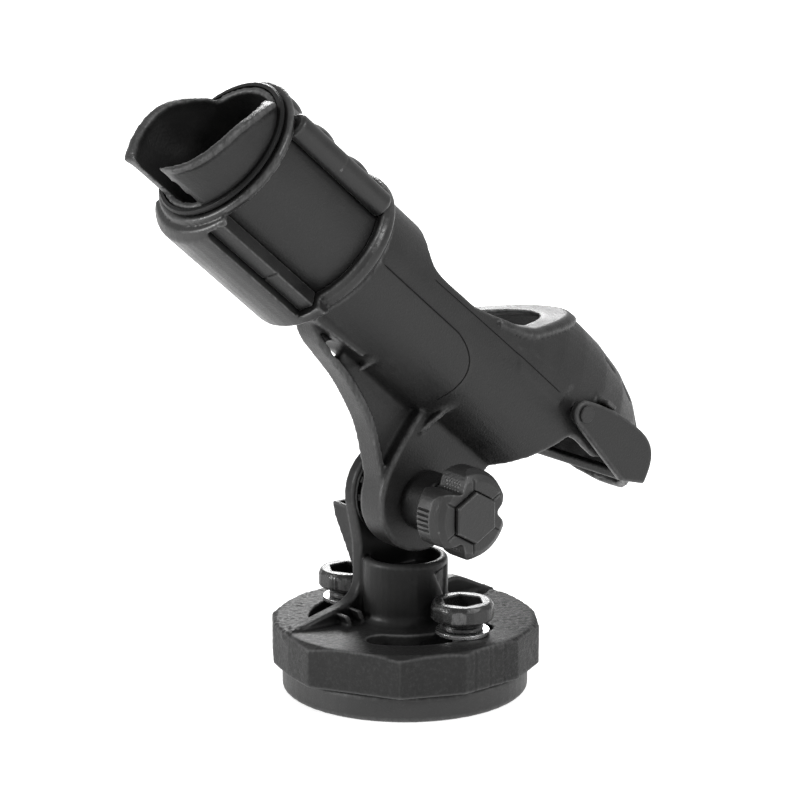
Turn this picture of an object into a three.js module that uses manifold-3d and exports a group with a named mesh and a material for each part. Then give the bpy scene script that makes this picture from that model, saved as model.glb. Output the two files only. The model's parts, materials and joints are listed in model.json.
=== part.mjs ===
// Swivelling, tilting rod holder: a deck disc, a slotted pedestal, a toothed tilt joint with a
// clamp knob, a slotted tube with a hooded rear end, a turning lock collar and a rear bail.
// Millimetres, +Z up. The origin is the centre of the deck disc's bottom face.
// The tube's centre plane is XZ, its mouth points to -X and up, and the clamp knob is on -Y.
import * as THREE from 'three';
import { mergeVertices } from 'three/addons/utils/BufferGeometryUtils.js';
import Module from 'manifold-3d';

const wasm = await Module();
wasm.setup();

// ---- driving dimensions ----
const GAP = 0.3; // clearance between neighbouring pieces

const DISC_RADIUS = 50;
const DISC_TOP = 11;
const FLANGE_BOTTOM = DISC_TOP + GAP;
const FLANGE_TOP = 28.8;
const BOLT_CIRCLE = 32.5; // radius of the two deck bolts
const BOLT_TURN = 8; // the bolts sit this many degrees round from the Y axis
const SLOT_WIDTH = 13;
const SLOT_START = -143; // arc slot centre line, degrees; the other slot mirrors it
const SLOT_END = -64;
const STUD_RADIUS = 4;
const COLUMN_RADIUS = 17.5;
const COLUMN_TOP = 55;

const PIVOT_HEIGHT = 80.5;
const TUBE_PITCH = 41.2; // degrees above the horizontal at rest
const PIVOT_BOLT_RADIUS = 4;
const LUG_RADIUS = 21.5;
const LUG_NEAR = -12.7; // faces of the stack on the tilt axis, along Y
const LUG_FAR = 2.2;
const TOOTH_RING_THICKNESS = 2.35;
const PLATE_NEAR = LUG_FAR + 3 * GAP + 2 * TOOTH_RING_THICKNESS;
const PLATE_FAR = 14;
const HEAD_RADIUS = 20.5;

const AXIS_RISE = 55; // tube axis above the tilt axis, square to the tube
const BORE_RADIUS = 25.3;
const NECK_RADIUS = 28;
const BODY_RADIUS = 29.5;
const NECK_START = 95; // stations along the tube, from the tilt axis towards the mouth
const MOUTH = 165;
const SLOT_FLOOR = 69.5; // height of the top slot's edges
const SHOULDER = 74.2; // station where the tube becomes a full circle
const OPEN_EDGE = { front: 56, rear: 60.4 }; // lower edge of the hood's side walls

// Hood: starts to swell at one station, is highest at the next and closes at the last.
const HOOD = { start: 62, crest: -24, end: -92, high: 46.8, wide: 30.8, fullness: 2.4, wall: 3.2 };
// Edge of the hood's opening in the centre plane, and how far the lip stands out, in and down from it.
const RIM = {
  points: [[SLOT_FLOOR, 41], [73, 28], [76.5, 16], [80.5, 8.2], [125, -42.6]],
  lip: 1.4, inward: 7, depth: 3.2,
};

const COLLAR_START = 96.8;
const COLLAR_END = 162.4;
const COLLAR_INNER = NECK_RADIUS + GAP;
const COLLAR_OUTER = 32;
const WINDOW_START = 103.6;
const WINDOW_END = 158.4;

const BAIL = { x: 65, z: -28, inner: 32.6, outer: 36.8, boss: 5.4, pin: 2.5 };
const KNOB = { back: -29.5, front: -45.4, radius: 19, lobes: 3, scoop: 7.2 };

const rad = THREE.MathUtils.degToRad;
const deg = THREE.MathUtils.radToDeg;

// ---- solids ----
function solidOf(positions, indices) {
  return new wasm.Manifold(new wasm.Mesh({
    numProp: 3,
    vertProperties: new Float32Array(positions),
    triVerts: new Uint32Array(indices),
  }));
}

function solid(geometry, matrix) {
  const clean = geometry.index ? geometry.toNonIndexed() : geometry.clone();
  for (const name of ['normal', 'uv']) clean.deleteAttribute(name);
  if (matrix) clean.applyMatrix4(matrix);
  const merged = mergeVertices(clean, 1e-4);
  return solidOf(merged.attributes.position.array, merged.index.array);
}

function geometryOf(manifold) {
  const mesh = manifold.getMesh();
  const geometry = new THREE.BufferGeometry();
  geometry.setAttribute('position', new THREE.BufferAttribute(mesh.vertProperties, 3));
  geometry.setIndex(new THREE.BufferAttribute(mesh.triVerts, 1));
  geometry.computeVertexNormals();
  return geometry;
}

function union(solids) {
  return solids.reduce((sum, next) => sum.add(next));
}

function move(x, y, z) {
  return new THREE.Matrix4().makeTranslation(x, y, z);
}

// ---- basic shapes ----
// A profile of [radius, height] pairs turned about Z.
function turned(profile, segments = 40) {
  const points = profile.map(([r, z]) => new THREE.Vector2(r, z));
  const geometry = new THREE.LatheGeometry(points, segments);
  return solid(geometry, new THREE.Matrix4().makeRotationX(Math.PI / 2));
}

// A ring about Z, or a plain cylinder where the inner radius is 0, with chamfered outer edges.
function ring(inner, outer, low, high, chamfer = 0, segments = 40) {
  const profile = [[inner, low]];
  if (chamfer > 0) {
    profile.push([outer - chamfer, low], [outer, low + chamfer]);
    profile.push([outer, high - chamfer], [outer - chamfer, high]);
  } else {
    profile.push([outer, low], [outer, high]);
  }
  profile.push([inner, high]);
  if (inner > 0) profile.push([inner, low]);
  return turned(profile, segments);
}

// The same ring laid along Y, between two values of Y.
function ringAlongY(inner, outer, from, to, chamfer = 0, segments = 32) {
  const low = Math.min(from, to);
  const high = Math.max(from, to);
  const lay = new THREE.Matrix4().makeRotationX(-Math.PI / 2);
  return ring(inner, outer, low, high, chamfer, segments).transform(lay.elements);
}

function outline(points) {
  return new THREE.Shape(points.map(([x, y]) => new THREE.Vector2(x, y)));
}

// A shape drawn in X and Z, made solid between two values of Y.
function slabXZ(shape, from, to, options = {}) {
  const bevel = options.bevel ?? 0;
  const geometry = new THREE.ExtrudeGeometry(shape, {
    depth: to - from - 2 * bevel,
    curveSegments: options.curveSegments ?? 10,
    bevelEnabled: bevel > 0,
    bevelThickness: bevel,
    bevelSize: bevel,
    bevelOffset: -bevel,
    bevelSegments: options.bevelSegments ?? 1,
  });
  // the drawing's second axis becomes Z, and its depth runs towards -Y
  const place = new THREE.Matrix4().makeRotationX(Math.PI / 2).setPosition(0, to - bevel, 0);
  return solid(geometry, place);
}

// A shape drawn in X and Y, made solid between two heights.
function slabXY(shape, low, high, curveSegments = 10) {
  const geometry = new THREE.ExtrudeGeometry(shape, {
    depth: high - low, bevelEnabled: false, curveSegments,
  });
  return solid(geometry, move(0, 0, low));
}

function box(x0, x1, y0, y1, z0, z1) {
  const geometry = new THREE.BoxGeometry(x1 - x0, y1 - y0, z1 - z0);
  return solid(geometry, move((x0 + x1) / 2, (y0 + y1) / 2, (z0 + z1) / 2));
}

function ellipsoid(x, y, z, halfX, halfY, halfZ, segments = 18) {
  const place = move(x, y, z).scale(new THREE.Vector3(halfX, halfY, halfZ));
  return solid(new THREE.SphereGeometry(1, segments, segments / 2), place);
}

// A sector of a ring about Z, between two angles in degrees.
function sector(inner, outer, from, to, low, high) {
  const shape = new THREE.Shape();
  shape.absarc(0, 0, outer, rad(from), rad(to), false);
  shape.absarc(0, 0, inner, rad(to), rad(from), true);
  return slabXY(shape, low, high, 12);
}

function regularOutline(radius, sides, turn = 0) {
  const points = [];
  for (let i = 0; i < sides; i += 1) {
    const angle = turn + (2 * Math.PI * i) / sides;
    points.push([radius * Math.cos(angle), radius * Math.sin(angle)]);
  }
  return outline(points);
}

// A skin through equal outlines stacked along Z, closed by flat ends.
function loft(outlines) {
  const count = outlines[0].length;
  const faces = [];
  for (let row = 0; row + 1 < outlines.length; row += 1) {
    for (let i = 0; i < count; i += 1) {
      const a = row * count + i;
      const b = row * count + ((i + 1) % count);
      faces.push(a, b, b + count, a, b + count, a + count);
    }
  }
  const last = (outlines.length - 1) * count;
  for (let i = 1; i + 1 < count; i += 1) {
    faces.push(0, i + 1, i, last, last + i, last + i + 1);
  }
  return solidOf(outlines.flat(2), faces);
}

// ---- assembly ----
const group = new THREE.Group();
const tilted = new THREE.Group(); // local X is up from the tube, local Z runs to the mouth
tilted.position.set(0, 0, PIVOT_HEIGHT);
tilted.rotation.y = rad(TUBE_PITCH - 90);
group.add(tilted);

const MATERIALS = {
  nylon: { color: 0x1d1d1e, roughness: 0.55, metalness: 0 },
  nylonDark: { color: 0x121213, roughness: 0.6, metalness: 0 },
  disc: { color: 0x262627, roughness: 0.5, metalness: 0 },
  rubber: { color: 0x0c0c0c, roughness: 0.85, metalness: 0 },
  steel: { color: 0xc9cbcc, roughness: 0.25, metalness: 1 },
  brass: { color: 0xb08d4a, roughness: 0.35, metalness: 1 },
};

function addPart(parent, name, manifold, look, place) {
  const material = new THREE.MeshStandardMaterial({ ...MATERIALS[look] });
  const mesh = new THREE.Mesh(geometryOf(manifold), material);
  mesh.name = name;
  if (place) mesh.position.set(...place);
  parent.add(mesh);
}

// ---- deck disc and its bolts ----
const SPIGOT = { radius: 12, top: 17 };
const INSERT = { radius: 6, floor: 2.5, top: DISC_TOP - 0.2 };
const WASHER_BOTTOM = FLANGE_TOP + GAP;
const WASHER_TOP = WASHER_BOTTOM + 1.5;
const BOLT_HEAD = { radius: 13.3, bottom: 35, top: 42.5, socket: 8.6, socketDepth: 5.5, sides: 8 };

// Places of the two bolts: the near one towards -Y, the far one towards +Y.
function boltPlace(side) {
  const angle = rad(side * 90 + BOLT_TURN);
  return [BOLT_CIRCLE * Math.cos(angle), BOLT_CIRCLE * Math.sin(angle), 0];
}

function deckDisc() {
  const disc = turned([
    [0, 0], [DISC_RADIUS - 1, 0], [DISC_RADIUS, 1], [DISC_RADIUS, DISC_TOP - 1],
    [DISC_RADIUS - 1, DISC_TOP], [SPIGOT.radius, DISC_TOP], [SPIGOT.radius, SPIGOT.top - 1],
    [SPIGOT.radius - 1, SPIGOT.top], [0, SPIGOT.top],
  ], 56);
  const bore = ring(0, INSERT.radius + GAP, INSERT.floor, DISC_TOP + 1, 0, 24);
  return disc.subtract(union([-1, 1].map((side) => bore.translate(boltPlace(side)))));
}

function deckInsert() {
  return ring(STUD_RADIUS + GAP, INSERT.radius, INSERT.floor + GAP, INSERT.top, 0, 20);
}

function deckWasher() {
  return ring(STUD_RADIUS + GAP, 10.8, WASHER_BOTTOM, WASHER_TOP, 0, 32);
}

// Hand bolt head: eight sides with fluted corners, a hexagonal socket and a grooved collar.
function boltHead() {
  const { radius, bottom, top, socket, socketDepth, sides } = BOLT_HEAD;
  const crown = slabXY(regularOutline(radius, sides, Math.PI / sides), bottom, top);
  const round = turned([
    [0, bottom], [radius - 1.6, bottom], [radius - 0.5, bottom + 1], [radius - 0.5, top - 2],
    [radius - 1.8, top], [0, top],
  ], 24);
  const flutes = [];
  const flute = box(-0.35, 0.35, radius - 1.2, radius + 1, bottom - 1, top + 1);
  for (let corner = 0; corner < sides; corner += 2) {
    for (let i = -1; i <= 1; i += 1) flutes.push(flute.rotate([0, 0, corner * 45 + 22.5 + i * 6]));
  }
  const collar = turned([
    [0, WASHER_TOP + GAP], [8.4, WASHER_TOP + GAP], [8.4, 32.4], [7.5, 32.8], [7.5, 33.3],
    [8.4, 33.7], [8.4, 34.4], [7.6, 34.8], [7.6, bottom + 1], [0, bottom + 1],
  ], 20);
  const hexagon = slabXY(regularOutline(socket, 6), top - socketDepth, top + 1);
  const shank = ring(0, STUD_RADIUS + GAP, 0, top - 2 * GAP - socketDepth - 1, 0, 20);
  const fluted = crown.intersect(round).subtract(union(flutes));
  return fluted.add(collar).subtract(hexagon).subtract(shank);
}

function boltStud() {
  const top = BOLT_HEAD.top - BOLT_HEAD.socketDepth - 2.2;
  return ring(0, STUD_RADIUS, INSERT.floor + 3 * GAP, top, 0.5, 20);
}

function addDeckParts() {
  addPart(group, 'base_disc', deckDisc(), 'disc');
  for (const [name, side] of [['near', -1], ['far', 1]]) {
    const place = boltPlace(side);
    addPart(group, `base_insert_${name}`, deckInsert(), 'brass', place);
    addPart(group, `base_washer_${name}`, deckWasher(), 'steel', place);
    addPart(group, `base_bolt_head_${name}`, boltHead(), 'nylonDark', place);
    addPart(group, `base_bolt_stud_${name}`, boltStud(), 'steel', place);
  }
}

// ---- pedestal ----
// Corners of the flange, as [angle, radius]; the other half repeats them half a turn on.
const FLANGE_CORNERS = [
  [-171, 55.6], [-129, 55.4], [-100, 54], [-70, 54], [-46, 55], [-27, 54], [-8, 53.4],
];
const FLUTE_COUNT = 10;

function cornerPoint([angle, radius], turn) {
  return [radius * Math.cos(rad(angle + turn)), radius * Math.sin(rad(angle + turn))];
}

// Fine upright flutes side by side across one facet.
function facetFlutes([ax, ay], [bx, by]) {
  const facetAngle = deg(Math.atan2(by - ay, bx - ax));
  const flutes = [];
  for (let i = 0; i < FLUTE_COUNT; i += 1) {
    const t = (i + 0.8) / (FLUTE_COUNT + 0.6);
    const groove = box(-0.45, 0.45, -0.5, 0.5, 0, FLANGE_TOP + 5).rotate([0, 0, facetAngle]);
    flutes.push(groove.translate([ax + (bx - ax) * t, ay + (by - ay) * t, 0]));
  }
  return flutes;
}

function flange() {
  const corners = [];
  for (const turn of [0, 180]) corners.push(...FLANGE_CORNERS.map((corner) => cornerPoint(corner, turn)));
  const block = slabXY(outline(corners), FLANGE_BOTTOM, FLANGE_TOP);
  const edge = 60;
  const crown = turned([
    [0, 0], [edge, 0], [edge, FLANGE_TOP - 3.4], [53.6, FLANGE_TOP - 1], [52, FLANGE_TOP], [0, FLANGE_TOP],
  ], 64);
  const flutes = [];
  const half = FLANGE_CORNERS.length;
  for (const start of [0, half]) {
    flutes.push(...facetFlutes(corners[start + 2], corners[start + 3]));
  }
  return block.intersect(crown).subtract(union(flutes));
}

function arcSlot(start, end) {
  const half = SLOT_WIDTH / 2;
  const low = FLANGE_BOTTOM - 1;
  const high = FLANGE_TOP + 1;
  const path = sector(BOLT_CIRCLE - half, BOLT_CIRCLE + half, start, end, low, high);
  const cap = ring(0, half, low, high, 0, 24);
  const ends = [start, end].map((angle) => cap.translate([
    BOLT_CIRCLE * Math.cos(rad(angle)), BOLT_CIRCLE * Math.sin(rad(angle)), 0]));
  return path.add(union(ends));
}

// Upright plate: a round head on two edges that sweep down and out to the flange's rim.
const NECK_HALF = 16.6;
const RIM_REACH = 52.5;

function uprightPlate() {
  const foot = FLANGE_TOP - 3;
  const shape = new THREE.Shape();
  shape.moveTo(-RIM_REACH, foot);
  shape.lineTo(RIM_REACH, foot);
  shape.lineTo(RIM_REACH, FLANGE_TOP + 0.2);
  shape.bezierCurveTo(46, FLANGE_TOP + 3, 40, FLANGE_TOP + 6.5, 35, FLANGE_TOP + 8.2);
  shape.bezierCurveTo(31, FLANGE_TOP + 9.6, 28, FLANGE_TOP + 7.8, 25, FLANGE_TOP + 8);
  shape.bezierCurveTo(20, FLANGE_TOP + 9, NECK_HALF + 0.6, FLANGE_TOP + 13, NECK_HALF, 50);
  shape.lineTo(NECK_HALF + 2.6, PIVOT_HEIGHT - 7);
  shape.absarc(0, PIVOT_HEIGHT, HEAD_RADIUS, rad(-20), rad(200), false);
  shape.lineTo(-NECK_HALF, 60);
  shape.lineTo(-NECK_HALF, 45);
  shape.bezierCurveTo(-NECK_HALF - 0.8, FLANGE_TOP + 9, -23, FLANGE_TOP + 7, -31, FLANGE_TOP + 5.2);
  shape.bezierCurveTo(-38, FLANGE_TOP + 3.6, -45, FLANGE_TOP + 1.4, -RIM_REACH, FLANGE_TOP + 0.2);
  return slabXZ(shape, PLATE_NEAR, PLATE_FAR, { bevel: 0.7, curveSegments: 9 });
}

// Tapered pocket behind the plate, open at the top, under the head of the tilt bolt.
const POCKET = { topHalf: 19.5, bottomHalf: 13.5, top: 75, bottom: 46.5, reach: 24.5, wall: 2.4 };

function boltPocket() {
  const { topHalf, bottomHalf, top, bottom, reach, wall } = POCKET;
  const side = (inset) => outline([
    [PLATE_FAR - 2, bottom + inset], [PLATE_FAR + 3 - inset / 2, bottom + inset],
    [reach - inset, top - 6], [reach - inset, top + inset], [PLATE_FAR - 2, top + inset],
  ]);
  // The side view is drawn in Y and Z and extruded along X, then cut to the tapered back view.
  const across = (inset) => solid(
    new THREE.ExtrudeGeometry(side(inset), { depth: 2 * topHalf, bevelEnabled: false }),
    new THREE.Matrix4().set(0, 0, 1, -topHalf, 1, 0, 0, 0, 0, 1, 0, 0, 0, 0, 0, 1));
  const back = (inset) => slabXZ(outline([
    [inset - bottomHalf, bottom], [bottomHalf - inset, bottom],
    [topHalf - inset, top + 4], [inset - topHalf, top + 4],
  ]), 0, 60);
  const outer = across(0).intersect(back(0));
  const cavity = across(wall).intersect(back(wall));
  const inPlate = box(-topHalf, topHalf, 0, PLATE_FAR + 0.01, 0, 200);
  return outer.subtract(cavity.subtract(inPlate));
}

function column() {
  const foot = FLANGE_TOP - 2;
  const fillet = 4;
  const profile = [[0, foot], [COLUMN_RADIUS + fillet, foot]];
  for (let i = 0; i <= 5; i += 1) {
    const angle = (Math.PI / 2) * (i / 5);
    profile.push([
      COLUMN_RADIUS + fillet * (1 - Math.sin(angle)),
      FLANGE_TOP + 0.4 + fillet * (1 - Math.cos(angle)),
    ]);
  }
  profile.push([COLUMN_RADIUS, COLUMN_TOP - 1.2], [COLUMN_RADIUS - 1.2, COLUMN_TOP]);
  profile.push([COLUMN_RADIUS - 3.2, COLUMN_TOP], [COLUMN_RADIUS - 4, COLUMN_TOP - 7], [0, COLUMN_TOP - 7]);
  return turned(profile, 36);
}

// Thin triangular ribs that brace the plate's foot on its near side.
function footRibs() {
  const rib = (x, lean, top) => {
    const shape = outline([
      [x - 1 + lean, FLANGE_TOP - 1], [x + 1 + lean, FLANGE_TOP - 1], [x + 1, top], [x - 1, top],
    ]);
    return slabXZ(shape, 1, PLATE_NEAR + 2);
  };
  return union([rib(-22, 3, FLANGE_TOP + 6), rib(-28, 2.5, FLANGE_TOP + 4.6), rib(23, -2, FLANGE_TOP + 6)]);
}

// A sunken plain triangle on the front of the column.
function columnRecess() {
  const shape = outline([[-5.5, 50.5], [4.5, 52.2], [3, 37]]);
  const skin = ring(COLUMN_RADIUS - 1.2, COLUMN_RADIUS + 2, 30, 54, 0, 36);
  return skin.intersect(slabXZ(shape, -40, 0).rotate([0, 0, 24]));
}

function pedestal() {
  const underside = ring(0, SPIGOT.radius + GAP, 0, SPIGOT.top + GAP, 0, 32);
  const slots = arcSlot(SLOT_START, SLOT_END).add(arcSlot(-SLOT_END, -SLOT_START));
  const boltHole = ringAlongY(0, PIVOT_BOLT_RADIUS + GAP, 0, 60, 0, 24);
  return flange()
    .add(column())
    .add(footRibs())
    .subtract(slots)
    .add(uprightPlate())
    .add(boltPocket())
    .subtract(underside)
    .subtract(columnRecess())
    .subtract(boltHole.translate([0, 0, PIVOT_HEIGHT]));
}

// ---- tilt joint stack ----
const TOOTH = { count: 16, height: 1.1, half: 1.3, inner: 12.5 };

function toothRing(back, front) {
  const direction = Math.sign(front - back);
  const base = back + direction * (TOOTH_RING_THICKNESS - TOOTH.height);
  const body = ringAlongY(PIVOT_BOLT_RADIUS + 2, HEAD_RADIUS - 1, back, base, 0, 32);
  const low = Math.min(base - direction * 0.2, front);
  const high = Math.max(base - direction * 0.2, front);
  const tooth = box(-TOOTH.half, TOOTH.half, low, high, TOOTH.inner, HEAD_RADIUS - 1.6);
  const all = [body];
  for (let i = 0; i < TOOTH.count; i += 1) all.push(tooth.rotate([0, (360 * i) / TOOTH.count, 0]));
  return union(all);
}

const SPACER_END = -27.5;
const BOLT_END = -41.2;
const PIVOT_WASHER_FACE = PLATE_FAR + 1.7;

function knobSpacer() {
  return ringAlongY(PIVOT_BOLT_RADIUS + GAP, 12.3, SPACER_END, LUG_NEAR - GAP, 0.8, 28);
}

function clampWasher() {
  return ringAlongY(PIVOT_BOLT_RADIUS + GAP, 11, KNOB.back + GAP, SPACER_END - GAP, 0, 24);
}

function pivotWasher() {
  return ringAlongY(PIVOT_BOLT_RADIUS + GAP, 9, PLATE_FAR + GAP, PIVOT_WASHER_FACE, 0, 24);
}

function pivotBolt() {
  const headStart = PIVOT_WASHER_FACE + GAP;
  const shank = ringAlongY(0, PIVOT_BOLT_RADIUS, BOLT_END, headStart + 1, 0.6, 24);
  return shank.add(slabXZ(regularOutline(7.4, 6), headStart, headStart + 4.6));
}

// Three lobes with a finger scoop between each pair.
function knobOutline() {
  const points = [];
  const steps = 24;
  const total = KNOB.lobes * steps;
  for (let i = 0; i < total; i += 1) {
    const phase = ((i + steps / 2) % steps) / steps - 0.5;
    const radius = KNOB.radius - KNOB.scoop * Math.exp(-((phase / 0.15) ** 2));
    const angle = (2 * Math.PI * i) / total;
    points.push([radius * Math.cos(angle), radius * Math.sin(angle)]);
  }
  return outline(points);
}

const CAP = { radius: 10.6, front: -47.4, floor: -44.3 };
const KNOB_INSERT = { radius: 7, from: -42.4, to: -34.2 };

function knobGrooves() {
  const grooves = [];
  for (let i = 0; i < 2 * KNOB.lobes; i += 1) {
    const groove = box(CAP.radius - 1, 21, KNOB.front - 0.1, KNOB.front + 0.7, -0.4, 0.4);
    grooves.push(groove.rotate([0, i * 60 + 30, 0]));
  }
  for (let i = 0; i < KNOB.lobes; i += 1) {
    for (let step = -2; step <= 2; step += 1) {
      const groove = box(KNOB.radius - 1, 21, KNOB.front + 5.5, KNOB.back - 2.5, -0.45, 0.45);
      grooves.push(groove.rotate([0, i * 120 + 60 + step * 6.5, 0]));
    }
  }
  return union(grooves);
}

function knobBody() {
  const lobed = slabXZ(knobOutline(), KNOB.front, KNOB.back);
  const crown = turned([
    [0, KNOB.front], [14.4, KNOB.front], [17, KNOB.front + 1.6], [18.8, KNOB.front + 5],
    [KNOB.radius + 0.2, KNOB.back - 3.5], [16.4, KNOB.back], [0, KNOB.back],
  ], 48).transform(new THREE.Matrix4().makeRotationX(-Math.PI / 2).elements);
  const pocket = slabXZ(regularOutline(CAP.radius + 0.5, 6, Math.PI / 6), KNOB.front - 1, CAP.floor);
  const bore = ringAlongY(0, PIVOT_BOLT_RADIUS + GAP, KNOB.front - 2, KNOB.back + 1, 0, 24);
  const { radius, from, to } = KNOB_INSERT;
  const seat = ringAlongY(0, radius + GAP, from - GAP, to + GAP, 0, 24);
  return lobed.intersect(crown).subtract(knobGrooves()).subtract(union([pocket, bore, seat]));
}

function knobCap() {
  return slabXZ(regularOutline(CAP.radius, 6, Math.PI / 6), CAP.front, CAP.floor - GAP, { bevel: 0.6 });
}

function knobInsert() {
  const { radius, from, to } = KNOB_INSERT;
  return ringAlongY(PIVOT_BOLT_RADIUS + GAP, radius, from, to, 0, 24);
}

function addTiltJoint() {
  const centre = [0, 0, PIVOT_HEIGHT];
  const lugRing = [LUG_FAR + GAP, LUG_FAR + GAP + TOOTH_RING_THICKNESS];
  const plateRing = [PLATE_NEAR - GAP, PLATE_NEAR - GAP - TOOTH_RING_THICKNESS];
  addPart(group, 'pedestal', pedestal(), 'nylon');
  addPart(group, 'pedestal_tooth_ring', toothRing(...plateRing), 'steel', centre);
  addPart(group, 'lug_tooth_ring', toothRing(...lugRing), 'steel', centre);
  addPart(group, 'pivot_bolt', pivotBolt(), 'steel', centre);
  addPart(group, 'pivot_washer', pivotWasher(), 'steel', centre);
  addPart(group, 'knob_spacer', knobSpacer(), 'nylonDark', centre);
  addPart(group, 'clamp_washer', clampWasher(), 'steel', centre);
  addPart(group, 'knob_body', knobBody(), 'nylon', centre);
  addPart(group, 'knob_cap', knobCap(), 'nylonDark', centre);
  addPart(group, 'knob_insert', knobInsert(), 'brass', centre);
}

// ---- tube, in the tilted frame ----
const SKIN_SIDES = 48;

function aboutAxis(manifold) {
  return manifold.translate([AXIS_RISE, 0, 0]);
}

// One outline of the tube and hood at a station, pulled in by a depth.
function skinOutline(station, front, rear) {
  const swell = Math.min(1, Math.max(0, (HOOD.start - station) / (HOOD.start - HOOD.crest)));
  const ease = swell * swell * (3 - 2 * swell);
  const inset = front + (rear - front) * ease;
  const length = HOOD.crest - HOOD.end - inset;
  const end = Math.min(0.9995, Math.max(0, (HOOD.crest - station) / length));
  const close = (1 - end ** HOOD.fullness) ** (1 / HOOD.fullness);
  const top = (BODY_RADIUS + (HOOD.high - BODY_RADIUS) * ease - inset) * close;
  const side = (BODY_RADIUS + (HOOD.wide - BODY_RADIUS) * ease - inset) * close;
  const bottom = (BODY_RADIUS - inset) * close;
  const points = [];
  for (let i = 0; i < SKIN_SIDES; i += 1) {
    const angle = (2 * Math.PI * i) / SKIN_SIDES;
    const rise = Math.cos(angle) * (Math.cos(angle) > 0 ? top : bottom);
    points.push([AXIS_RISE + rise, side * Math.sin(angle), station]);
  }
  return points;
}

// The tube's skin from the closed rear to a station, pulled in by depths at its front and rear.
function tubeSkin(to, front, rear) {
  const dome = 7;
  const body = 7;
  const length = HOOD.crest - HOOD.end - rear;
  const outlines = [];
  for (let i = 0; i < dome; i += 1) {
    outlines.push(skinOutline(HOOD.crest - length * Math.cos((Math.PI / 2) * (i / dome)), front, rear));
  }
  for (let i = 0; i <= body; i += 1) {
    outlines.push(skinOutline(HOOD.crest + (HOOD.start - HOOD.crest) * (i / body), front, rear));
  }
  outlines.push(skinOutline(to, front, rear));
  return loft(outlines);
}

// The two jaws past the mouth: mirrored tongues whose edges dip and climb.
const JAW_RIM = { proud: 1.2, width: 2.6 };
const JAW_TOP = { near: 76.8, far: 72.6 }; // the far jaw starts a little further round

function jaws() {
  const root = MOUTH - 2;
  const jaw = (top, from, to, drop) => {
    const shape = new THREE.Shape();
    shape.moveTo(top + 0.6, root);
    shape.lineTo(top, 168 - drop);
    shape.bezierCurveTo(top - 3.8, 172.5 - drop, 66, 176.4 - drop, 60, 179.5 - drop);
    shape.bezierCurveTo(53, 182.6 - drop, 45, 183.2 - drop, 38, 184.5 - drop);
    shape.lineTo(30.6, 187 - drop);
    shape.lineTo(30.8, root);
    return slabXZ(shape, from, to);
  };
  const side = (drop) => jaw(JAW_TOP.near, -40, 0, drop).add(jaw(JAW_TOP.far, 0, 40, drop));
  const { proud, width } = JAW_RIM;
  const wall = aboutAxis(ring(BORE_RADIUS, NECK_RADIUS, root, 195, 0, SKIN_SIDES));
  const thick = aboutAxis(ring(BORE_RADIUS - 0.4, NECK_RADIUS + proud, root + 3, 195, 0, SKIN_SIDES));
  return wall.intersect(side(0)).add(thick.intersect(side(0).subtract(side(width))));
}

// Everything above the slot's floor between the shoulder and the hood's rim is open.
function topSlot() {
  const high = RIM.points.at(-1)[0];
  const shape = new THREE.Shape();
  shape.moveTo(SLOT_FLOOR, RIM.points[0][1]);
  shape.lineTo(SLOT_FLOOR, SHOULDER - 15);
  shape.bezierCurveTo(SLOT_FLOOR, SHOULDER - 7, 72, SHOULDER - 3.5, 78, SHOULDER - 2);
  shape.lineTo(86, SHOULDER);
  shape.lineTo(high, SHOULDER);
  for (const [x, z] of RIM.points.slice(1).reverse()) shape.lineTo(x, z);
  return slabXZ(shape, -60, 60);
}

// The underside is open behind the lug, below the hood's side walls.
function rearOpening() {
  const { front, rear } = OPEN_EDGE;
  const shape = outline([
    [20, -19], [28, -19], [front - 1, -32], [front, -36], [front, -50], [rear, -57], [rear, -120],
    [-5, -120], [-5, -19],
  ]);
  return slabXZ(shape, -60, 60);
}

// Lip around the hood's open rim, a band of the skin just below the opening.
function hoodLip() {
  const { points, lip, inward, depth } = RIM;
  const pitch = rad(TUBE_PITCH);
  const below = points.map(([x, z]) => [x - depth * Math.cos(pitch), z - depth * Math.sin(pitch)]);
  const band = slabXZ(outline([...points.slice(1), ...below.slice(1).reverse()]), -60, 60);
  return tubeSkin(SHOULDER, -lip, -lip).subtract(tubeSkin(SHOULDER, inward, inward)).intersect(band);
}

// Short grooves across the crown of the hood, and a plain raised panel on its near side.
function hoodGrooves() {
  const band = tubeSkin(SHOULDER, -3, -3).subtract(tubeSkin(SHOULDER, 0.9, 0.9));
  const slots = [];
  for (const y of [-15, -9, 9, 15]) {
    for (const z of [-43, -58, -71]) slots.push(box(70, 120, y - 1.1, y + 1.1, z - 4.5, z + 4.5));
  }
  return band.intersect(union(slots));
}

function hoodPanel() {
  const shape = outline([[69.2, 13.3], [71.4, 8], [72, -20.4], [61.9, -18], [62.2, 7.9]]);
  return tubeSkin(SHOULDER, -0.6, -0.6).intersect(slabXZ(shape, -60, 0));
}

// Slightly raised skirt on the tube's lower half, with a rounded rear end.
function tubeSkirt() {
  const shape = new THREE.Shape();
  shape.moveTo(0, NECK_START);
  shape.lineTo(0, 27);
  shape.lineTo(40, 27.4);
  shape.bezierCurveTo(48, 28, 54, 32, 56, 44);
  shape.lineTo(56, NECK_START);
  return tubeSkin(NECK_START, -0.45, -0.45).intersect(slabXZ(shape, -60, 60));
}

// Thick part of the lug: the round boss and the trunk that joins it to the tube.
function lugTrunk() {
  const shape = new THREE.Shape();
  shape.moveTo(-7.6, 20.1);
  shape.absarc(0, 0, LUG_RADIUS, rad(111), rad(290), false);
  shape.bezierCurveTo(16, -21.5, 22, -23, 30, -27);
  shape.lineTo(42, -32);
  shape.lineTo(42, 25);
  shape.lineTo(29, 25);
  shape.bezierCurveTo(18, 24.5, 2, 24.8, -7.6, 20.1);
  return slabXZ(shape, LUG_NEAR, LUG_FAR, { curveSegments: 14, bevel: 1 });
}

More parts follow.
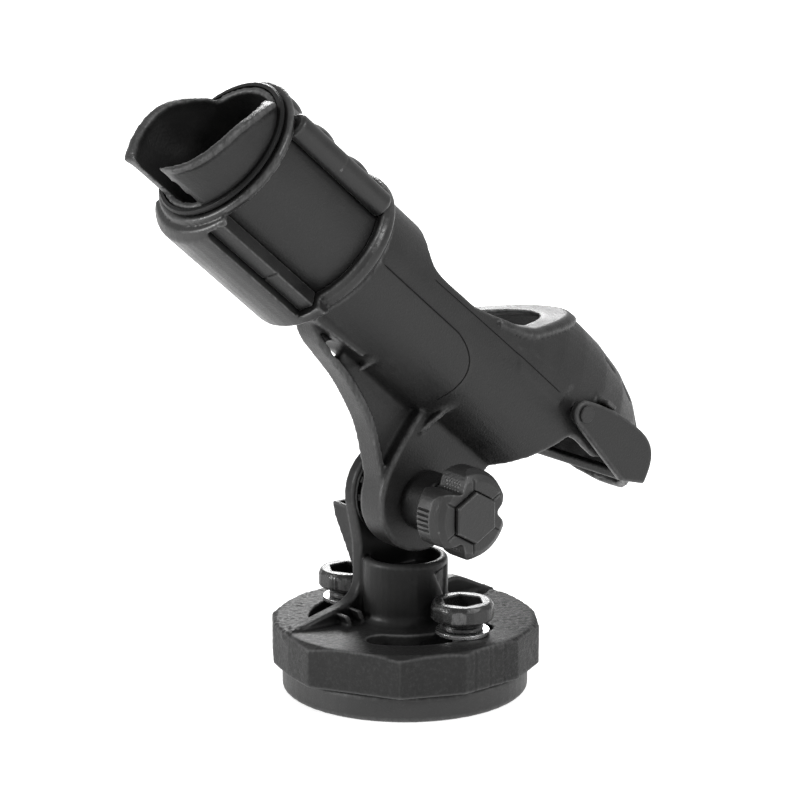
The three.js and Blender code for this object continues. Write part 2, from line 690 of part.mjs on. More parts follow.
const WEB_NEAR = LUG_NEAR + 2.6;
const WEB = { near: WEB_NEAR + 4, far: LUG_FAR - 4, bead: 3 };

// Front web with a thicker front edge, from the boss up to the collar.
function lugWeb() {
  const front = [
    [-16, 14], [-7.1, 19.5], [1.5, 30], [8.6, 40.5], [12.6, 50], [16.4, 62], [18.6, 74.6],
    [21, 86], [27, 94.6],
  ];
  const curve = new THREE.CatmullRomCurve3(front.map(([x, z]) => new THREE.Vector3(x, z, 0)));
  const edge = curve.getPoints(24).map((point) => [point.x, point.y]);
  const inner = edge.map(([x, z]) => [x + WEB.bead, z - 0.8]).reverse();
  const web = slabXZ(outline([...edge, [36, 94.6], [40, 20], [0, 8]]), WEB.near, WEB.far);
  return web.add(slabXZ(outline([...edge, ...inner]), WEB_NEAR, LUG_FAR));
}

const LANYARD = { x: 23.6, z: 73, half: 2.7, stretch: 1.8 };

function lanyardHole() {
  return ringAlongY(0, LANYARD.half, -20, 20, 0, 24)
    .scale([1, 1, LANYARD.stretch])
    .translate([LANYARD.x, 0, LANYARD.z]);
}

// A thin fin between three points of the near side, thickened along Z.
function fin(points, half) {
  const corners = [];
  for (const side of [-half, half]) for (const [x, y, z] of points) corners.push([x, y, z + side]);
  const [a, b, c, d, e, f] = [0, 1, 2, 3, 4, 5];
  const faces = [a, b, c, d, f, e, a, d, e, a, e, b, b, e, f, b, f, c, c, f, d, c, d, a];
  const body = solidOf(corners.flat(), faces);
  return body.volume() < 0 ? solidOf(corners.flat(), faces.toReversed()) : body;
}

// Forked fins on the near side, from the tube's flank down to the web and to the trunk.
function lugRibs() {
  const upper = [38.5, -25, 59.5];
  const lower = [41.5, -26.5, 21];
  const forks = [
    fin([upper, [28.5, -14.5, 65], [36, -6, 62]], 1), fin([upper, [22.5, -9, 59.5], [36, -6, 58]], 1),
    fin([lower, [27.5, -12, 25.5], [38, -6, 23]], 1), fin([lower, [17.5, -12, 20], [38, -6, 18]], 1),
  ];
  const ridge = slabXZ(outline([[24.5, NECK_START - 0.4], [27, 65], [36, 65], [36, NECK_START - 0.4]]), -14.5, 0);
  return union([...forks, ridge]);
}

// Stops above the bail's arms.
function bailStops() {
  return union([-1, 1].map((side) => box(74.6, 77, side > 0 ? 24 : -35, side > 0 ? 35 : -24, -42, -36)));
}

function tubeBody() {
  const neck = aboutAxis(ring(0, NECK_RADIUS, 0, MOUTH, 0, SKIN_SIDES));
  const outside = union([tubeSkin(NECK_START, 0, 0), neck, hoodPanel(), tubeSkirt(), bailStops()]);
  const wall = BODY_RADIUS - BORE_RADIUS;
  const inside = tubeSkin(210, wall, HOOD.wall);
  const clearOfBore = aboutAxis(ring(0, BORE_RADIUS + 1.8, -80, 210, 0, SKIN_SIDES));
  const lug = union([lugTrunk(), lugWeb(), lugRibs()]).subtract(clearOfBore);
  const pinHoles = ringAlongY(0, BAIL.pin, -60, 60, 0, 20).translate([BAIL.x, 0, BAIL.z]);
  const boltHole = ringAlongY(0, PIVOT_BOLT_RADIUS + GAP, -40, 40, 0, 24);
  return outside
    .subtract(hoodGrooves())
    .subtract(inside)
    .add(hoodLip())
    .add(lug)
    .add(jaws())
    .subtract(topSlot())
    .subtract(rearOpening())
    .subtract(lanyardHole())
    .subtract(pinHoles)
    .subtract(boltHole);
}

// ---- collar, about the tube's axis; 0 degrees is the top and +90 is the near side ----
const ROUND_BAR = { angle: 51, centre: 30.6, radius: 5.4, chamfer: 1.2 };
const FLAT_BAR = { angle: 148, inner: 29, outer: 35, half: 3.4 };
const PALM = { radius: 36, offset: -2.8, from: 138, to: 222 };
const LOBES = { stations: [109, 130.5, 151], angle: -4, distance: 26.6, high: 6.8, wide: 11.5, long: 10.6 };
const THIN_SIDE = { radius: 29.9, from: -24, to: 45 }; // the sleeve is thinner between the round bar and the lobes

// The near side is -Y, so collar angles change sign.
function collarSector(inner, outer, from, to, low, high) {
  return sector(inner, outer, -to, -from, low, high);
}

function alongTube(manifold, angle, distance) {
  return manifold.translate([distance, 0, 0]).rotate([0, 0, -angle]);
}

function roundBarBody(extra) {
  const { angle, centre, radius, chamfer } = ROUND_BAR;
  const bar = ring(0, radius + extra, WINDOW_START - extra, WINDOW_END + extra, chamfer, 24);
  return alongTube(bar, angle, centre);
}

function flatBarBody(extra) {
  const { inner, outer, half, angle } = FLAT_BAR;
  const bar = box(inner - 4, outer + (extra ? 8 : 0), -half - extra, half + extra,
    WINDOW_START - extra, WINDOW_END + extra);
  return bar.rotate([0, 0, -angle]);
}

// Palm panel under the collar and three finger lobes on its far side.
function palmPanel() {
  const whole = ring(0, PALM.radius, COLLAR_START, COLLAR_END - 2, 3, SKIN_SIDES);
  const round = whole.translate([PALM.offset, 0, 0]);
  return round.intersect(collarSector(20, 50, PALM.from, PALM.to, COLLAR_START, COLLAR_END));
}

function fingerLobes() {
  const { stations, angle, distance, high, wide, long } = LOBES;
  return union(stations.map((z) => alongTube(ellipsoid(0, 0, z, high, wide, long), angle, distance)));
}

function collarShell() {
  const outer = COLLAR_OUTER;
  const sleeve = ring(COLLAR_INNER, outer, COLLAR_START + 1, COLLAR_END - 1, 0, SKIN_SIDES);
  const lowerBand = ring(COLLAR_INNER, outer + 0.8, COLLAR_START, WINDOW_START - 1.5, 1, SKIN_SIDES);
  const upperBand = ring(COLLAR_INNER, outer + 0.8, WINDOW_END + 1.2, COLLAR_END, 0.9, SKIN_SIDES);
  const span = collarSector(20, 60, ROUND_BAR.angle - 9, FLAT_BAR.angle - 5, WINDOW_START, WINDOW_END);
  const bore = ring(0, COLLAR_INNER, 90, 180, 0, SKIN_SIDES);
  const seats = roundBarBody(GAP).add(flatBarBody(GAP));
  const { radius, from, to } = THIN_SIDE;
  const thinned = collarSector(radius, 60, from, to, WINDOW_START - 1, WINDOW_END + 1);
  return union([sleeve.subtract(thinned), palmPanel(), fingerLobes()])
    .subtract(span)
    .add(lowerBand)
    .add(upperBand)
    .subtract(bore)
    .subtract(seats);
}

function collarRoundBar() {
  const bore = ring(0, COLLAR_INNER, 90, 180, 0, SKIN_SIDES);
  const middle = (WINDOW_START + WINDOW_END) / 2;
  const seam = ring(ROUND_BAR.radius - 0.4, ROUND_BAR.radius + 1, middle, middle + 0.7, 0, 24);
  return roundBarBody(0).subtract(bore).subtract(alongTube(seam, ROUND_BAR.angle, ROUND_BAR.centre));
}

function collarFlatBar() {
  const bore = ring(0, COLLAR_INNER + 0.2, 90, 180, 0, SKIN_SIDES);
  const middle = (WINDOW_START + WINDOW_END) / 2;
  const step = box(FLAT_BAR.outer - 0.7, 40, -5, 5, middle - 6, middle - 5).rotate([0, 0, -FLAT_BAR.angle]);
  return flatBarBody(0).subtract(bore).subtract(step);
}

function frictionRing() {
  return ring(COLLAR_INNER, BODY_RADIUS + 0.8, NECK_START + GAP, COLLAR_START - GAP, 0, SKIN_SIDES);
}

function retainingRing() {
  return ring(COLLAR_INNER, COLLAR_OUTER - 1.6, COLLAR_END + GAP, MOUTH, 0.7, SKIN_SIDES);
}

// ---- rear bail ----
// Section of the crossbar in X and Z, just below the edges of the hood's side walls.
const BAR = [[54.4, -63.4], [57, -61], [OPEN_EDGE.rear - 0.4, -64.5], [OPEN_EDGE.rear - 0.4, -73.4]];

function bailArm(inner, outer) {
  const { x, z, boss } = BAIL;
  const shape = new THREE.Shape();
  shape.moveTo(x - boss + 0.4, z + 0.5);
  shape.absarc(x, z, boss, rad(175), rad(35), true);
  shape.bezierCurveTo(74, -36, 76.5, -48, 76, -60);
  shape.bezierCurveTo(75.5, -70, 69, -73, 60, -74.6);
  shape.lineTo(54.4, -63.4);
  shape.lineTo(x - boss, z);
  return slabXZ(shape, Math.min(inner, outer), Math.max(inner, outer), { bevel: 0.8 });
}

function rearBail() {
  const { inner, outer, x, z } = BAIL;
  const bar = slabXZ(outline(BAR), -outer + 0.5, outer - 0.5);
  const holes = ringAlongY(0, BAIL.pin, -60, 60, 0, 20).translate([x, 0, z]);
  return union([bailArm(-outer, -inner), bailArm(inner, outer), bar]).subtract(holes);
}

function bailPin(side) {
  const { outer, pin } = BAIL;
  const shank = ringAlongY(0, pin - GAP, side * 26, side * (outer + 0.6), 0, 16);
  const head = ringAlongY(0, 3.6, side * (outer + GAP), side * (outer + 1.2), 0.4, 20);
  return shank.add(head);
}

function addTiltedParts() {
  const onAxis = [AXIS_RISE, 0, 0];
  addPart(tilted, 'tube_body', tubeBody(), 'nylon');
  addPart(tilted, 'collar_shell', collarShell(), 'nylon', onAxis);
  addPart(tilted, 'collar_round_bar', collarRoundBar(), 'nylon', onAxis);
  addPart(tilted, 'collar_flat_bar', collarFlatBar(), 'nylon', onAxis);
  addPart(tilted, 'collar_friction_ring', frictionRing(), 'rubber', onAxis);
  addPart(tilted, 'collar_retaining_ring', retainingRing(), 'nylonDark', onAxis);
  addPart(tilted, 'rear_bail', rearBail(), 'nylon');
  addPart(tilted, 'bail_pin_near', bailPin(-1), 'nylonDark', [BAIL.x, 0, BAIL.z]);
  addPart(tilted, 'bail_pin_far', bailPin(1), 'nylonDark', [BAIL.x, 0, BAIL.z]);
}

addDeckParts();
addTiltJoint();
addTiltedParts();

export default group;
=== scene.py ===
"""Looks for the swivelling, tilting rod holder: moulded black nylon, rubber, steel and brass."""
import json
import math

import bpy
import numpy as np
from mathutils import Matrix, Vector, noise
from mathutils.bvhtree import BVHTree

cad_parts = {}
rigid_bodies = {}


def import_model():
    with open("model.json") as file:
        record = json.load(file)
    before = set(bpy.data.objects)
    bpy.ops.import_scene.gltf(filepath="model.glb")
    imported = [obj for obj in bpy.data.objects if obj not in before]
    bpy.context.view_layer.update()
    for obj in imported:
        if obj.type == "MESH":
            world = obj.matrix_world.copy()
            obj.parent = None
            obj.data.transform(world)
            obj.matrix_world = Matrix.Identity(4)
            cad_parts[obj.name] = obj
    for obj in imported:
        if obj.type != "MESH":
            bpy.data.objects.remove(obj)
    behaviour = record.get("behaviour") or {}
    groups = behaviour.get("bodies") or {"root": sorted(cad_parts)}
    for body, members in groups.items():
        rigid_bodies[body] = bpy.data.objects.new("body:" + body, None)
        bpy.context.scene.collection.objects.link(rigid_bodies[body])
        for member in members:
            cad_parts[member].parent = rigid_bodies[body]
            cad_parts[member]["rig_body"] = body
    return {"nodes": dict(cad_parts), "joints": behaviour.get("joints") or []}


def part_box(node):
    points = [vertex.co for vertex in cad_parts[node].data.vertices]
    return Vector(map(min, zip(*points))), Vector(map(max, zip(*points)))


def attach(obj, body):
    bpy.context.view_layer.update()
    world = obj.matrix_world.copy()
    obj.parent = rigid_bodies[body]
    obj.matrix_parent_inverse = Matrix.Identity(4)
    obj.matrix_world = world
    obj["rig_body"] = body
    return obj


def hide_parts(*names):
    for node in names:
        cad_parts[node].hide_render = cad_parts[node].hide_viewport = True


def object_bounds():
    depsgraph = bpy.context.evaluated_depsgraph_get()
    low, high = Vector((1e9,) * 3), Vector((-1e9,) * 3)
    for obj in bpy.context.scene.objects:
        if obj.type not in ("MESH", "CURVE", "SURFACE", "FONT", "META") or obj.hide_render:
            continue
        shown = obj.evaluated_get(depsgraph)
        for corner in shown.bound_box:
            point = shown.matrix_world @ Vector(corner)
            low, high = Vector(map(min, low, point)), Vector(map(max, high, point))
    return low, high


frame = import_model()
cad_low, cad_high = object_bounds()

MM = 0.001
SMOOTH_ANGLE = math.radians(32)
EDGE_POINTINESS = (0.509, 0.55)
CREASE_POINTINESS = (0.492, 0.455)
# Colour of the painted highlight on outward edges.
EDGE_HIGHLIGHT_LEVEL = 0.10


# ---- node helpers ----
class Shader:
    """A node material built up line by line, with texture positions in metres."""

    def __init__(self, name):
        self.material = bpy.data.materials.new(name)
        self.material.use_nodes = True
        self.tree = self.material.node_tree
        self.surface = self.tree.nodes["Principled BSDF"]
        self.place = self.tree.nodes.new("ShaderNodeTexCoord").outputs["Object"]

    def node(self, kind, **inputs):
        made = self.tree.nodes.new(kind)
        for key, value in inputs.items():
            socket = made.inputs[key.replace("_", " ")]
            if isinstance(value, bpy.types.NodeSocket):
                self.tree.links.new(value, socket)
            else:
                socket.default_value = value
        return made

    def stretched(self, x, y, z):
        mapping = self.node("ShaderNodeMapping", Vector=self.place)
        mapping.inputs["Scale"].default_value = (x, y, z)
        return mapping.outputs["Vector"]

    def noise(self, size, detail=3.0, roughness=0.55, vector=None):
        made = self.node("ShaderNodeTexNoise", Vector=vector or self.place, Scale=1 / size,
                         Detail=detail, Roughness=roughness)
        return made.outputs["Fac"]

    def remap(self, value, low, high, out_low, out_high):
        made = self.node("ShaderNodeMapRange", Value=value)
        made.inputs["From Min"].default_value = low
        made.inputs["From Max"].default_value = high
        made.inputs["To Min"].default_value = out_low
        made.inputs["To Max"].default_value = out_high
        return made.outputs["Result"]

    def maths(self, operation, a, b):
        made = self.tree.nodes.new("ShaderNodeMath")
        made.operation = operation
        for socket, value in zip(made.inputs, (a, b)):
            if isinstance(value, bpy.types.NodeSocket):
                self.tree.links.new(value, socket)
            else:
                socket.default_value = value
        return made.outputs["Value"]

    def mix(self, fac, dark, light):
        made = self.tree.nodes.new("ShaderNodeMix")
        made.data_type = "RGBA"
        for index, value in ((0, fac), (6, dark), (7, light)):
            socket = made.inputs[index]
            if isinstance(value, bpy.types.NodeSocket):
                self.tree.links.new(value, socket)
            else:
                socket.default_value = value
        return made.outputs[2]

    def edges(self):
        """1 along outward edges, 0 elsewhere."""
        pointiness = self.tree.nodes.new("ShaderNodeNewGeometry").outputs["Pointiness"]
        return self.remap(pointiness, *EDGE_POINTINESS, 0.0, 1.0)

    def creases(self):
        """1 in tight inward corners, 0 elsewhere: where painted shade goes."""
        pointiness = self.tree.nodes.new("ShaderNodeNewGeometry").outputs["Pointiness"]
        return self.remap(pointiness, *CREASE_POINTINESS, 0.0, 1.0)

    def rounded(self, radius):
        made = self.tree.nodes.new("ShaderNodeBevel")
        made.samples = 4
        made.inputs["Radius"].default_value = radius
        return made.outputs["Normal"]

    def bump(self, height, depth, normal=None, strength=1.0):
        made = self.node("ShaderNodeBump", Height=height, Distance=depth, Strength=strength)
        if normal is not None:
            self.tree.links.new(normal, made.inputs["Normal"])
        return made.outputs["Normal"]

    def finish(self, **inputs):
        for key, value in inputs.items():
            socket = self.surface.inputs[key.replace("_", " ")]
            if isinstance(value, bpy.types.NodeSocket):
                self.tree.links.new(value, socket)
            else:
                socket.default_value = value
        return self.material


def grey(level, warmth=0.0):
    return (level * (1 + warmth), level, level * (1 - warmth), 1.0)


# ---- materials ----
def nylon(name, level, gloss, specular=0.42, grain_size=0.8 * MM, grain_depth=0.15 * MM,
          edge_radius=0.5 * MM, painted_edges_and_creases=True):
    """Glass-filled black nylon: fine spark-eroded grain, faint mottling, outward edges painted lighter
    in patches as a painted highlight, and creases painted darker as painted shade.

    The painted edge highlight and crease shade read the mesh's own points, so only finely meshed
    pieces have them.
    """
    shader = Shader(name)
    mottle = shader.noise(14 * MM, 4.0)
    grain = shader.noise(grain_size, 2.0, 0.7)
    # Noise that breaks the painted edge highlight into patches.
    highlight_noise = shader.noise(2.2 * MM, 5.0, 0.75, shader.stretched(1.0, 1.0, 0.25))
    highlight_patches = shader.remap(highlight_noise, 0.35, 0.62, 0.15, 0.8)
    base = shader.mix(shader.remap(mottle, 0.35, 0.65, 0.0, 1.0),
                      grey(level * 0.82), grey(level * 1.2, 0.01))
    speckled = shader.mix(shader.remap(grain, 0.62, 0.78, 0.0, 0.5), base, grey(level * 2.6))
    if painted_edges_and_creases:
        # Painted highlight: outward edges turned lighter, in patches.
        edge_highlight = shader.maths("MULTIPLY", shader.edges(), highlight_patches)
        # Painted shade: creases get a darker colour and a lower specular level.
        creases = shader.creases()
        crease_shaded = shader.mix(shader.maths("MULTIPLY", creases, 0.8), speckled, grey(level * 0.25))
        surface_colour = shader.mix(edge_highlight, crease_shaded, grey(EDGE_HIGHLIGHT_LEVEL))
        shine = shader.maths("MULTIPLY", shader.remap(creases, 0.0, 1.0, 1.0, 0.35), specular)
    else:
        surface_colour, shine = speckled, specular
    speck = shader.remap(grain, 0.3, 0.7, gloss + 0.07, gloss - 0.07)
    rough = shader.maths("ADD", speck, shader.remap(mottle, 0.3, 0.7, -0.05, 0.06))
    normal = shader.bump(grain, grain_depth, shader.rounded(edge_radius))
    return shader.finish(Base_Color=surface_colour, Roughness=rough, Normal=normal, Specular_IOR_Level=shine)


def cast_nylon(name, level, gloss):
    """The pedestal's nylon: as the tube's, with a coarse speckled texture on the flange, painted
    glints on it and painted highlights along its edges.
    """
    shader = Shader(name)
    low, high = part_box("pedestal")
    disc_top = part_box("base_disc")[1].z
    separate = shader.node("ShaderNodeSeparateXYZ", Vector=shader.place)
    height = separate.outputs["Z"]
    on_flange = shader.remap(height, disc_top + 14 * MM, disc_top + 11.5 * MM, 0.0, 1.0)
    side_x = shader.remap(separate.outputs["X"], low.x * 0.15, high.x * 0.75, 0.0, 1.0)
    coarse_mask = shader.maths("MULTIPLY", on_flange, shader.maths("ADD", side_x, 0.25))
    mottle = shader.noise(11 * MM, 4.0)
    grain = shader.noise(0.5 * MM, 2.0, 0.7)
    coarse = shader.noise(1.5 * MM, 4.0, 0.8)
    height_map = shader.maths("ADD", shader.maths("MULTIPLY", grain, 0.08),
                              shader.maths("MULTIPLY", coarse, coarse_mask))
    base = shader.mix(shader.remap(mottle, 0.35, 0.65, 0.0, 1.0),
                      grey(level * 0.8), grey(level * 1.25, 0.01))
    # Painted glints: lighter flecks on the flange's coarse texture, stronger towards +X; outward edges
    # painted lighter as a painted highlight.
    glint = shader.maths("MULTIPLY", coarse_mask, shader.remap(coarse, 0.52, 0.68, 0.0, 0.5))
    surface_colour = shader.mix(shader.maths("MAXIMUM", glint, shader.maths("MULTIPLY", shader.edges(), 0.7)),
                      base, grey(0.075))
    rough = shader.maths("ADD", shader.remap(coarse, 0.3, 0.7, gloss + 0.1, gloss - 0.1),
                         shader.maths("MULTIPLY", on_flange, 0.14))
    # Specular level kept low, and lower in creases, as painted shade; raised on the flange.
    shine = shader.maths("ADD", shader.remap(shader.creases(), 0.0, 1.0, 0.20, 0.06),
                         shader.maths("MULTIPLY", on_flange, 0.12))
    normal = shader.bump(height_map, 0.6 * MM, shader.rounded(0.5 * MM))
    return shader.finish(Base_Color=surface_colour, Roughness=rough, Normal=normal, Specular_IOR_Level=shine)


def rubber(name):
    shader = Shader(name)
    grain = shader.noise(0.4 * MM, 3.0, 0.7)
    base = shader.mix(shader.noise(5 * MM), grey(0.010), grey(0.018))
    return shader.finish(Base_Color=base, Roughness=shader.remap(grain, 0.3, 0.7, 0.75, 0.92),
                         Normal=shader.bump(grain, 0.04 * MM))


def metal(name, dark, light, gloss, stretch):
    """Turned or brushed metal: fine lines along one direction, and a few stains."""
    shader = Shader(name)
    lines = shader.noise(0.5 * MM, 3.0, 0.6, shader.stretched(*stretch))
    stain = shader.noise(6 * MM, 4.0)
    base = shader.mix(shader.remap(stain, 0.35, 0.7, 0.0, 1.0), light, dark)
    rough = shader.maths("ADD", shader.remap(lines, 0.3, 0.7, gloss - 0.06, gloss + 0.1),
                         shader.remap(stain, 0.4, 0.7, 0.0, 0.08))
    normal = shader.bump(lines, 0.012 * MM, shader.rounded(0.25 * MM))
    return shader.finish(Base_Color=base, Roughness=rough, Normal=normal, Metallic=1.0)


LOOKS = {
    "tube": nylon("nylon_tube", 0.0075, 0.42, 0.33),
    "collar": nylon("nylon_collar", 0.0080, 0.36, 0.38, grain_depth=0.09 * MM),
    "knob": nylon("nylon_knob", 0.0120, 0.42, 0.38, grain_size=0.7 * MM, edge_radius=0.3 * MM),
    "cap": nylon("nylon_cap", 0.0130, 0.40, 0.38, grain_size=0.7 * MM, edge_radius=0.3 * MM),
    "dark": nylon("nylon_dark", 0.0060, 0.30, edge_radius=0.3 * MM),
    "pin": nylon("nylon_pin", 0.0090, 0.42, 0.36, edge_radius=0.3 * MM, painted_edges_and_creases=False),
    "black": nylon("nylon_black", 0.0030, 0.40, 0.20, edge_radius=0.3 * MM, painted_edges_and_creases=False),
    "disc": nylon("nylon_disc", 0.0150, 0.50, grain_size=0.8 * MM, grain_depth=0.14 * MM),
    # The pedestal's nylon is set darker than the tube's as painted shade for its shaded column.
    "pedestal": cast_nylon("nylon_pedestal", 0.0045, 0.42),
    "rubber": rubber("rubber_ring"),
    "steel": metal("steel", grey(0.45), grey(0.75), 0.24, (1.0, 0.08, 1.0)),
    "brass": metal("brass", (0.42, 0.27, 0.09, 1), (0.66, 0.47, 0.2, 1), 0.3, (1.0, 1.0, 0.08)),
}

NODE_LOOKS = {
    "tube_body": "tube", "rear_bail": "tube", "collar_shell": "collar", "collar_round_bar": "collar",
    "collar_flat_bar": "collar", "collar_retaining_ring": "black", "collar_friction_ring": "rubber",
    "bail_pin_near": "pin", "bail_pin_far": "pin", "knob_body": "knob", "knob_cap": "cap",
    "pedestal_tooth_ring": "black", "lug_tooth_ring": "black",
    "knob_spacer": "black", "pedestal": "pedestal", "base_disc": "disc",
    "base_bolt_head_near": "dark", "base_bolt_head_far": "dark",
    "base_insert_near": "brass", "base_insert_far": "brass", "knob_insert": "brass",
}


def dress(name, node):
    """Gives a CAD node its material and smooth shading between its sharp edges."""
    node.data.materials.clear()
    node.data.materials.append(LOOKS[NODE_LOOKS.get(name, "steel")])
    for face in node.data.polygons:
        face.use_smooth = True
        face.material_index = 0
    weld = node.modifiers.new("weld", "WELD")
    weld.merge_threshold = 0.002 * MM
    split = node.modifiers.new("sharp_edges", "EDGE_SPLIT")
    split.split_angle = SMOOTH_ANGLE
    split.use_edge_sharp = False


def settled(points, pairs, rounds, strength):
    """Laplacian smoothing of points, which rounds edges by about a voxel."""
    for _ in range(rounds):
        total = np.zeros_like(points)
        np.add.at(total, pairs[:, 0], points[pairs[:, 1]])
        np.add.at(total, pairs[:, 1], points[pairs[:, 0]])
        count = np.bincount(pairs.ravel(), minlength=len(points))[:, None]
        points = points + strength * (total / count - points)
    return points


def moulded(node_name, piece_name, voxel, rounds, strength=0.5):
    """A CAD node made again as one fine even mesh with rounded edges. It stands for the node."""
    node = frame["nodes"][node_name]
    source = bpy.data.objects.new("source", node.data.copy())
    bpy.context.scene.collection.objects.link(source)
    remesh = source.modifiers.new("remesh", "REMESH")
    remesh.mode = "VOXEL"
    remesh.voxel_size = voxel
    graph = bpy.context.evaluated_depsgraph_get()
    mesh = bpy.data.meshes.new_from_object(source.evaluated_get(graph))
    bpy.data.objects.remove(source)
    points = np.empty(len(mesh.vertices) * 3, np.float32)
    mesh.vertices.foreach_get("co", points)
    points = points.reshape(-1, 3).astype(float)
    pairs = np.empty(len(mesh.edges) * 2, np.int32)
    mesh.edges.foreach_get("vertices", pairs)
    points = settled(points, pairs.reshape(-1, 2), rounds, strength)
    low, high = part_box(node_name)
    points = np.clip(points, np.array(low), np.array(high))
    mesh.vertices.foreach_set("co", points.astype(np.float32).ravel())
    mesh.shade_smooth()
    mesh.name = piece_name
    mesh.materials.clear()
    mesh.materials.append(LOOKS[NODE_LOOKS[node_name]])
    piece = bpy.data.objects.new(piece_name, mesh)
    bpy.context.scene.collection.objects.link(piece)
    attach(piece, node["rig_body"])
    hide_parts(node_name)
    return piece


for node_name, node in frame["nodes"].items():
    dress(node_name, node)

JOINTS = {joint["name"]: joint for joint in frame["joints"]}

# The tube's own frame: PIVOT on the tilt axis, ALONG towards the mouth, RISE up square to the tube.
PIVOT = Vector(JOINTS["tilt"]["pos_m"])
ALONG = Vector(JOINTS["lock_collar"]["axis"]).normalized()
RISE = Vector(JOINTS["tilt"]["axis"]).cross(ALONG).normalized()


def on_tube(rise, along, side=0.0):
    """A point of the tube's own frame, given in millimetres."""
    return PIVOT + (RISE * rise + ALONG * along) * MM + Vector((0, side * MM, 0))


# Voxel size in millimetres and smoothing rounds of each moulding made from a CAD node.
MOULDINGS = {
    "tube_body": ("tube_moulding", 0.9, 2),
    "pedestal": ("pedestal_moulding", 0.65, 2),
    "collar_shell": ("collar_moulding", 0.65, 2),
    "rear_bail": ("bail_moulding", 0.6, 2),
    "knob_body": ("knob_moulding", 0.32, 2),
    "knob_cap": ("cap_moulding", 0.3, 2),
    "base_disc": ("disc_moulding", 0.9, 2),
    "base_bolt_head_near": ("bolt_head_near_moulding", 0.4, 2),
    "base_bolt_head_far": ("bolt_head_far_moulding", 0.4, 2),
    "collar_round_bar": ("round_bar_moulding", 0.45, 2),
    "collar_flat_bar": ("flat_bar_moulding", 0.45, 2),
}


def shift_points(mesh, offset_of):
    """Moves each vertex along its normal by offset_of(point, normal), in metres."""
    offsets = [(v.index, v.co + v.normal * offset_of(v.co, v.normal)) for v in mesh.vertices]
    for index, place in offsets:
        mesh.vertices[index].co = place
    mesh.update()


def cast_texture(mesh):
    """Coarse cast texture on the flange: deepest on its top, and light on its facets."""
    disc_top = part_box("base_disc")[0].z + 11 * MM
    flange_top = disc_top + 18 * MM
    margin = 1.5 * MM
    column_radius = 23 * MM
    smooth_side = 8 * MM

    def offset(point, normal):
        reach = math.hypot(point.x, point.y)
        if point.z > flange_top + margin or point.z < disc_top + margin or reach < column_radius:
            return 0.0
        depth = 0.36 if normal.z > 0.5 else 0.07
        if normal.z > 0.5 and point.y < smooth_side and point.x < point.y * -0.5:
            depth = 0.08
        coarse = noise.noise(point * 620) + 0.5 * noise.noise(point * 1300 + Vector((7, 3, 1)))
        return coarse * depth * MM

    shift_points(mesh, offset)


def scoop_dimples(mesh):
    """Small raised dots on the floors of the knob's three finger scoops."""
    centre = Vector(JOINTS["clamp_knob"]["pos_m"])
    low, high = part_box("knob_body")
    pitch = 1.7 * MM

    def offset(point, normal):
        flat = Vector((point.x - centre.x, 0, point.z - centre.z))
        reach = flat.length
        if not 11.5 * MM < reach < 15.2 * MM or normal.dot(flat) < 0.5 * reach:
            return 0.0
        if point.y < low.y + 3.5 * MM or point.y > high.y - 3 * MM:
            return 0.0
        around = math.atan2(flat.z, flat.x) * 13 * MM
        dot = math.cos(2 * math.pi * around / pitch) * math.cos(2 * math.pi * point.y / pitch)
        return max(0.0, dot - 0.25) * 0.45 * MM

    shift_points(mesh, offset)


def bead(name, host, route, radius, body, look):
    """A fine raised line laid on a moulding: route holds points beside it, dropped onto it along Y."""
    graph = bpy.context.evaluated_depsgraph_get()
    tree = BVHTree.FromObject(host, graph)
    dropped = []
    for point in route:
        way = Vector((0, -math.copysign(1, point.y), 0))
        hit = tree.ray_cast(point, way)
        if hit[0] is not None:
            dropped.append((hit[0], hit[1]))
    vertices, faces = [], []
    sides = 6
    for index, (place, normal) in enumerate(dropped):
        before = dropped[max(0, index - 1)][0]
        after = dropped[min(len(dropped) - 1, index + 1)][0]
        along = (after - before).normalized()
        across = along.cross(normal).normalized()
        end = radius * (0.15 if index in (0, len(dropped) - 1) else 1.0)
        for step in range(sides):
            angle = 2 * math.pi * step / sides
            vertices.append(place + across * (end * math.cos(angle))
                            + normal * (end * 0.8 * math.sin(angle)))
    rings = len(dropped)
    for index in range(rings - 1):
        for step in range(sides):
            a, b = index * sides + step, index * sides + (step + 1) % sides
            faces.append((a, b, b + sides, a + sides))
    faces.append(tuple(range(sides))[::-1])
    faces.append(tuple(range((rings - 1) * sides, rings * sides)))
    mesh = bpy.data.meshes.new(name)
    mesh.from_pydata(vertices, [], faces)
    mesh.shade_smooth()
    mesh.materials.append(LOOKS[look])
    piece = bpy.data.objects.new(name, mesh)
    bpy.context.scene.collection.objects.link(piece)
    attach(piece, body)
    return piece


def skirt_route(side):
    """Outline of the lug's skirt on the tube's flank, seen from the side."""
    start, corner_a = Vector((40, 27.4)), Vector((48, 28))
    corner_b, end = Vector((54, 32)), Vector((56, 44))
    points = [Vector((32 + step, 27.2)) for step in range(0, 8)]
    for step in range(13):
        t = step / 12
        points.append(start * (1 - t) ** 3 + corner_a * (3 * t * (1 - t) ** 2)
                      + corner_b * (3 * t * t * (1 - t)) + end * t ** 3)
    points += [Vector((56, 44 + step * 2)) for step in range(1, 25)]
    return [on_tube(point.x, point.y, side * 80) for point in points]


def slot_line_route(side):
    """Fine line below the top slot's edge, from the shoulder to the hood."""
    return [on_tube(66.5 - 0.0009 * (step - 20) ** 2, 66 - step * 2, side * 80)
            for step in range(0, 42)]


made = {}
for node_name, (piece_name, voxel, rounds) in MOULDINGS.items():
    made[node_name] = moulded(node_name, piece_name, voxel * MM, rounds)
cast_texture(made["pedestal"].data)
scoop_dimples(made["knob_body"].data)
for side, word in ((-1, "near"), (1, "far")):
    tube = made["tube_body"]
    bead("skirt_line_" + word, tube, skirt_route(side), 0.35 * MM, "tube", "tube")
    bead("slot_line_" + word, tube, slot_line_route(side), 0.25 * MM, "tube", "tube")


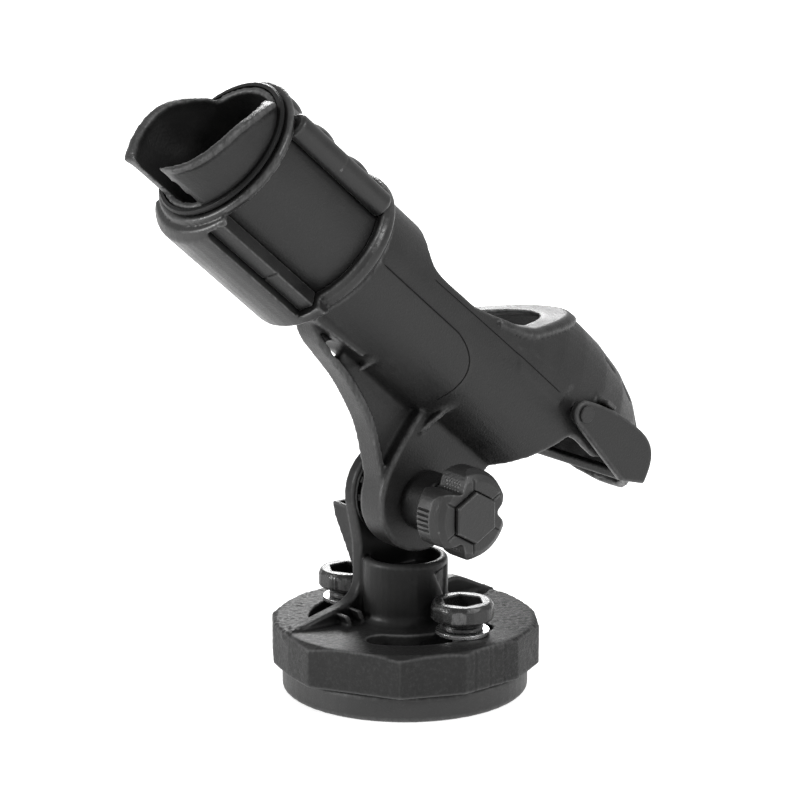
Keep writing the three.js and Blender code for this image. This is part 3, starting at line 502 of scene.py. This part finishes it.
# ---- studio ----
def pale_floor():
    half = 30.0
    mesh = bpy.data.meshes.new("studio_floor")
    corners = [(-half, -half, 0), (half, -half, 0), (half, half, 0), (-half, half, 0)]
    mesh.from_pydata(corners, [], [(0, 1, 2, 3)])
    floor = bpy.data.objects.new("studio_floor", mesh)
    bpy.context.scene.collection.objects.link(floor)
    shader = Shader("pale_floor")
    cloud = shader.noise(0.4)
    mesh.materials.append(shader.finish(
        Base_Color=shader.mix(cloud, grey(0.84), grey(0.88)),
        Roughness=shader.remap(cloud, 0.3, 0.7, 0.6, 0.7),
        Emission_Color=grey(1.0), Emission_Strength=0.5))


def softbox(name, place, target, size, power):
    light = bpy.data.lights.new(name, "AREA")
    light.shape = "SQUARE"
    light.size = size
    light.energy = power
    lamp = bpy.data.objects.new(name, light)
    lamp.location = place
    lamp.rotation_euler = (Vector(target) - Vector(place)).to_track_quat("-Z", "Y").to_euler()
    bpy.context.scene.collection.objects.link(lamp)


def studio_light():
    world = bpy.data.worlds.new("studio")
    bpy.context.scene.world = world
    world.use_nodes = True
    background = world.node_tree.nodes["Background"]
    background.inputs["Color"].default_value = (1.0, 1.0, 1.0, 1.0)
    background.inputs["Strength"].default_value = 0.72
    middle = (cad_low + cad_high) / 2
    softbox("key_light", (0.5, -1.4, 1.3), middle, 0.4, 20.0)
    softbox("left_rim", (-1.4, 0.6, 0.6), middle, 0.35, 18.0)
    softbox("back_rim", (0.9, 1.3, 0.8), middle, 0.5, 12.0)


def photo_camera():
    """Camera at the photograph's viewing angle, 1.4 m from the centre of the deck disc's bottom."""
    distance, azimuth, elevation = 1.4, math.radians(-37), math.radians(18.6)
    focal_over_width = 2.44 * 1.4 / 0.8
    level = math.cos(elevation)
    back = Vector((math.sin(azimuth) * level, -math.cos(azimuth) * level, math.sin(elevation)))
    right = Vector((math.cos(azimuth), math.sin(azimuth), 0.0))
    up = back.cross(right)
    aim_up, aim_right = math.radians(4.736), math.radians(-0.084)
    look = -back + up * math.tan(aim_up) + right * math.tan(aim_right)
    data = bpy.data.cameras.new("photo_camera")
    data.sensor_width = 36.0
    data.lens = focal_over_width * data.sensor_width
    data.clip_end = 50.0
    camera = bpy.data.objects.new("photo_camera", data)
    camera.location = back * distance
    camera.rotation_euler = look.to_track_quat("-Z", "Y").to_euler()
    bpy.context.scene.collection.objects.link(camera)
    bpy.context.scene.camera = camera


bpy.context.scene.view_settings.view_transform = "Standard"
pale_floor()
studio_light()
photo_camera()
